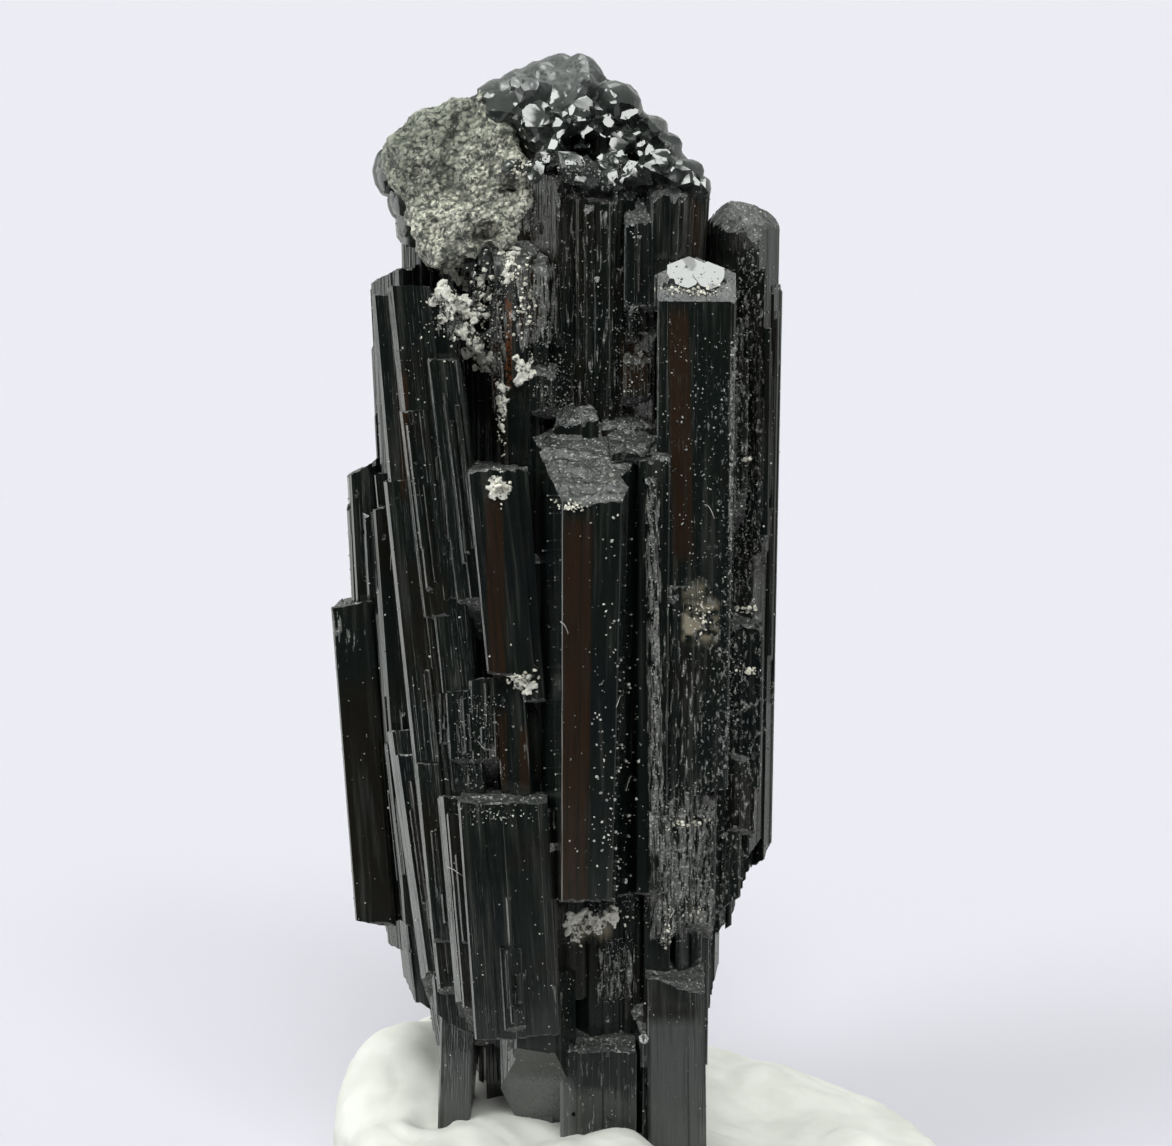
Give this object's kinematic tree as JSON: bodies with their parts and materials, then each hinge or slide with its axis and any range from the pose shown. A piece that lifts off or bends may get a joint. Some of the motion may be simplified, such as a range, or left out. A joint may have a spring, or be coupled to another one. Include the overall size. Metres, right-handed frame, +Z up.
{
  "type": "tourmaline crystal",
  "caption": "Cluster of parallel striated black crystals with a stepped front, a rounded crown and a crust of pale mica, standing in a pressed putty pad.",
  "frame": {"origin": "middle of the putty pad's flat underside, under the middle of the object's outline", "axes": "+Z up along the crystals, -Y towards the side with the stepped front column, +X to that side's right"},
  "size_m": [0.0238, 0.02, 0.0432],
  "materials": {
    "tourmaline": "glassy black with fine lengthwise striations",
    "mica": "rough, granular, grey-green to cream",
    "putty": "soft matt off-white, pressed and folded"
  },
  "bodies": {
    "root": {"tourmaline_cluster": "tourmaline", "mica_crust": "mica", "putty_foot": "putty"}
  },
  "joints": []
}
